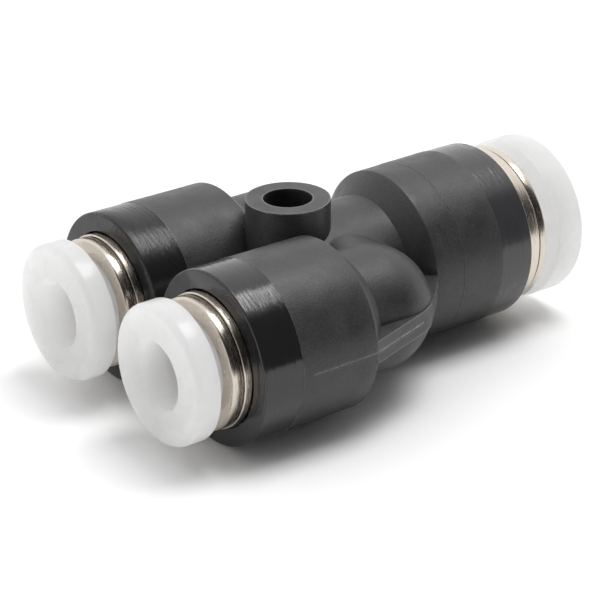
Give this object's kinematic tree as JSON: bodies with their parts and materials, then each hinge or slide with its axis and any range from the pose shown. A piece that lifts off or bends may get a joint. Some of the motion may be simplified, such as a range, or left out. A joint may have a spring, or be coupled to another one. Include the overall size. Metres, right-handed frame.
{
  "type": "y reducer push-in fitting",
  "caption": "Y-shaped pneumatic push-in reducer: two small tube ports side by side, one larger port opposite, push-to-release rings and an upright mounting boss.",
  "frame": {"origin": "on the axis of the mounting hole, in the plane of the three port axes", "axes": "+X towards the large port, +Z along the mounting hole to the boss's top, the small ports open to -X"},
  "size_m": [0.0341, 0.022, 0.0118],
  "materials": {
    "black_moulding": "moulded, fine matt texture with glossy bands at the mouths",
    "white_moulding": "moulded, satin",
    "nickel_plate": "brass, turned and nickel plated",
    "spring_steel": "stainless strip, stamped",
    "inner_moulding": "moulded",
    "seal_rubber": "moulded rubber"
  },
  "bodies": {
    "fitting": {"body": "black_moulding", "left_guide_sleeve": "nickel_plate", "left_lock_claw": "spring_steel", "left_back_ring": "inner_moulding", "left_seal": "seal_rubber", "right_guide_sleeve": "nickel_plate", "right_lock_claw": "spring_steel", "right_back_ring": "inner_moulding", "right_seal": "seal_rubber", "large_guide_sleeve": "nickel_plate", "large_lock_claw": "spring_steel", "large_back_ring": "inner_moulding", "large_seal": "seal_rubber"},
    "left_ring": {"left_release_ring": "white_moulding"},
    "right_ring": {"right_release_ring": "white_moulding"},
    "large_ring": {"large_release_ring": "white_moulding"}
  },
  "joints": [
    {"name": "left_release", "type": "slide", "parent": "fitting", "child": "left_ring", "axis": [1, 0, 0], "range_m": [0, 0.00095], "stiffness_N_per_m": 500, "deforming": ["left_lock_claw"]},
    {"name": "right_release", "type": "slide", "parent": "fitting", "child": "right_ring", "axis": [1, 0, 0], "range_m": [0, 0.00095], "stiffness_N_per_m": 500, "deforming": ["right_lock_claw"]},
    {"name": "large_release", "type": "slide", "parent": "fitting", "child": "large_ring", "axis": [-1, 0, 0], "range_m": [0, 0.0009], "stiffness_N_per_m": 500, "deforming": ["large_lock_claw"]}
  ]
}
